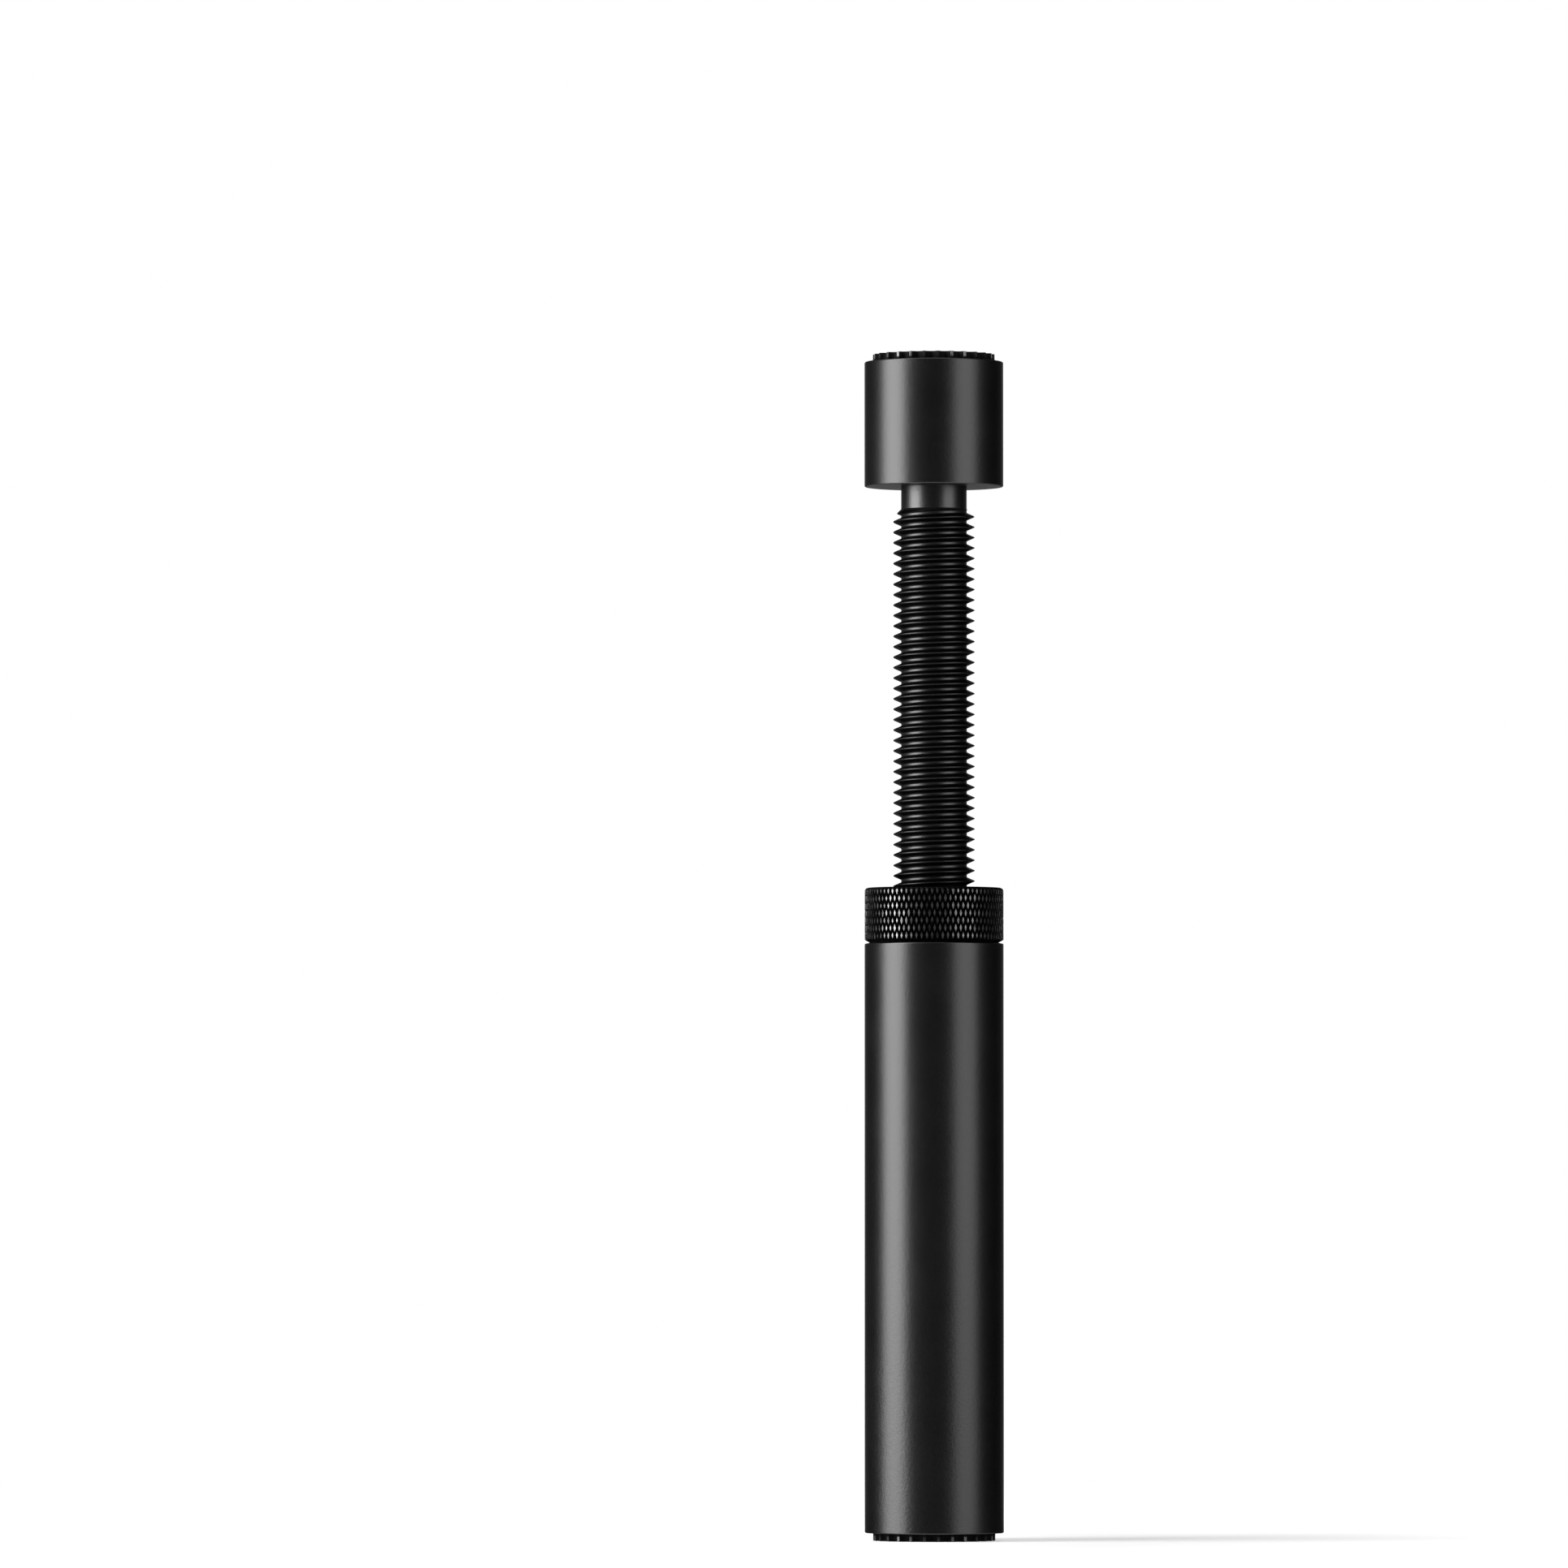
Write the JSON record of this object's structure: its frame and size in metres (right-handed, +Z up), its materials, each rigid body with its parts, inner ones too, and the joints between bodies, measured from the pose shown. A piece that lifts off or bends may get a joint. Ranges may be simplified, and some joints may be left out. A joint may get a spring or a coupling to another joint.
{
  "type": "graphics card support bracket",
  "caption": "Black screw-jack pillar that props up a graphics card: a tube foot with a knurled ring that turns to raise a threaded rod with a round padded head.",
  "frame": {"origin": "centre of the foot pad's underside, on the floor", "axes": "+Z up along the rod; X and Y lie in the floor, with X to the right in the picture"},
  "size_m": [0.02, 0.02, 0.1707],
  "materials": {
    "satin_black": "bead-blasted and black anodised, satin",
    "knurl_black": "diamond knurled and black anodised",
    "thread_black": "turned and black anodised, semi-gloss",
    "pad_rubber": "moulded, matte",
    "magnet_plate": "nickel plated"
  },
  "bodies": {
    "base": {"base_tube": "satin_black", "foot_pad": "pad_rubber", "base_magnet": "magnet_plate"},
    "ring": {"adjusting_ring": "knurl_black"},
    "rod": {"threaded_rod": "thread_black", "support_head": "satin_black", "top_pad": "pad_rubber"}
  },
  "joints": [
    {"name": "rod_lift", "type": "slide", "parent": "base", "child": "rod", "axis": [0, 0, 1], "range_m": [-0.057, 0.009]},
    {"name": "ring_turn", "type": "hinge", "parent": "base", "child": "ring", "pos_m": [0, 0, 0.0859], "axis": [0, 0, -1], "range_deg": [-13704, 2184]}
  ],
  "couplings": [
    {"joint": "ring_turn", "follows": "rod_lift", "rad_per_m": 4188.8}
  ]
}
